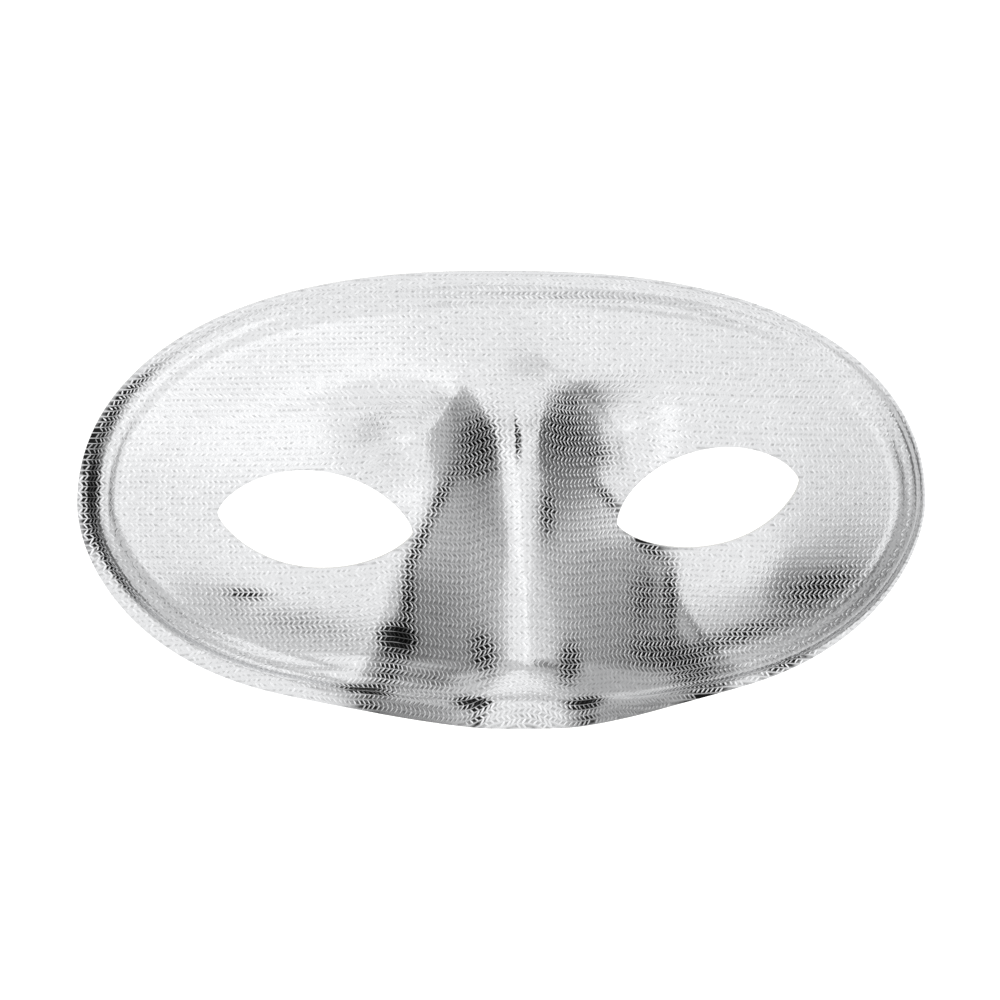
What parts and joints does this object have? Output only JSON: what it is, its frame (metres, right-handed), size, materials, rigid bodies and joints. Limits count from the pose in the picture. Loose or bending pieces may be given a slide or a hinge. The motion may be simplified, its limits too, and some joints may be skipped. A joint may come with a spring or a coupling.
{
  "type": "masquerade eye mask",
  "caption": "Oval half mask in silver metallic knit on a moulded shell, with pointed eye holes, a brow and a full nose.",
  "frame": {"origin": "centre of the bounding box at its base, on the plane that the rim lies on", "axes": "+Z the way the face looks, +Y towards the forehead, +X the right side as seen from in front"},
  "size_m": [0.176, 0.0908, 0.0282],
  "materials": {
    "silver_knit": "metallic silver warp knit with a fine zigzag stitch, bonded on a thin stiff shell"
  },
  "bodies": {
    "root": {"mask_shell": "silver_knit"}
  },
  "joints": []
}
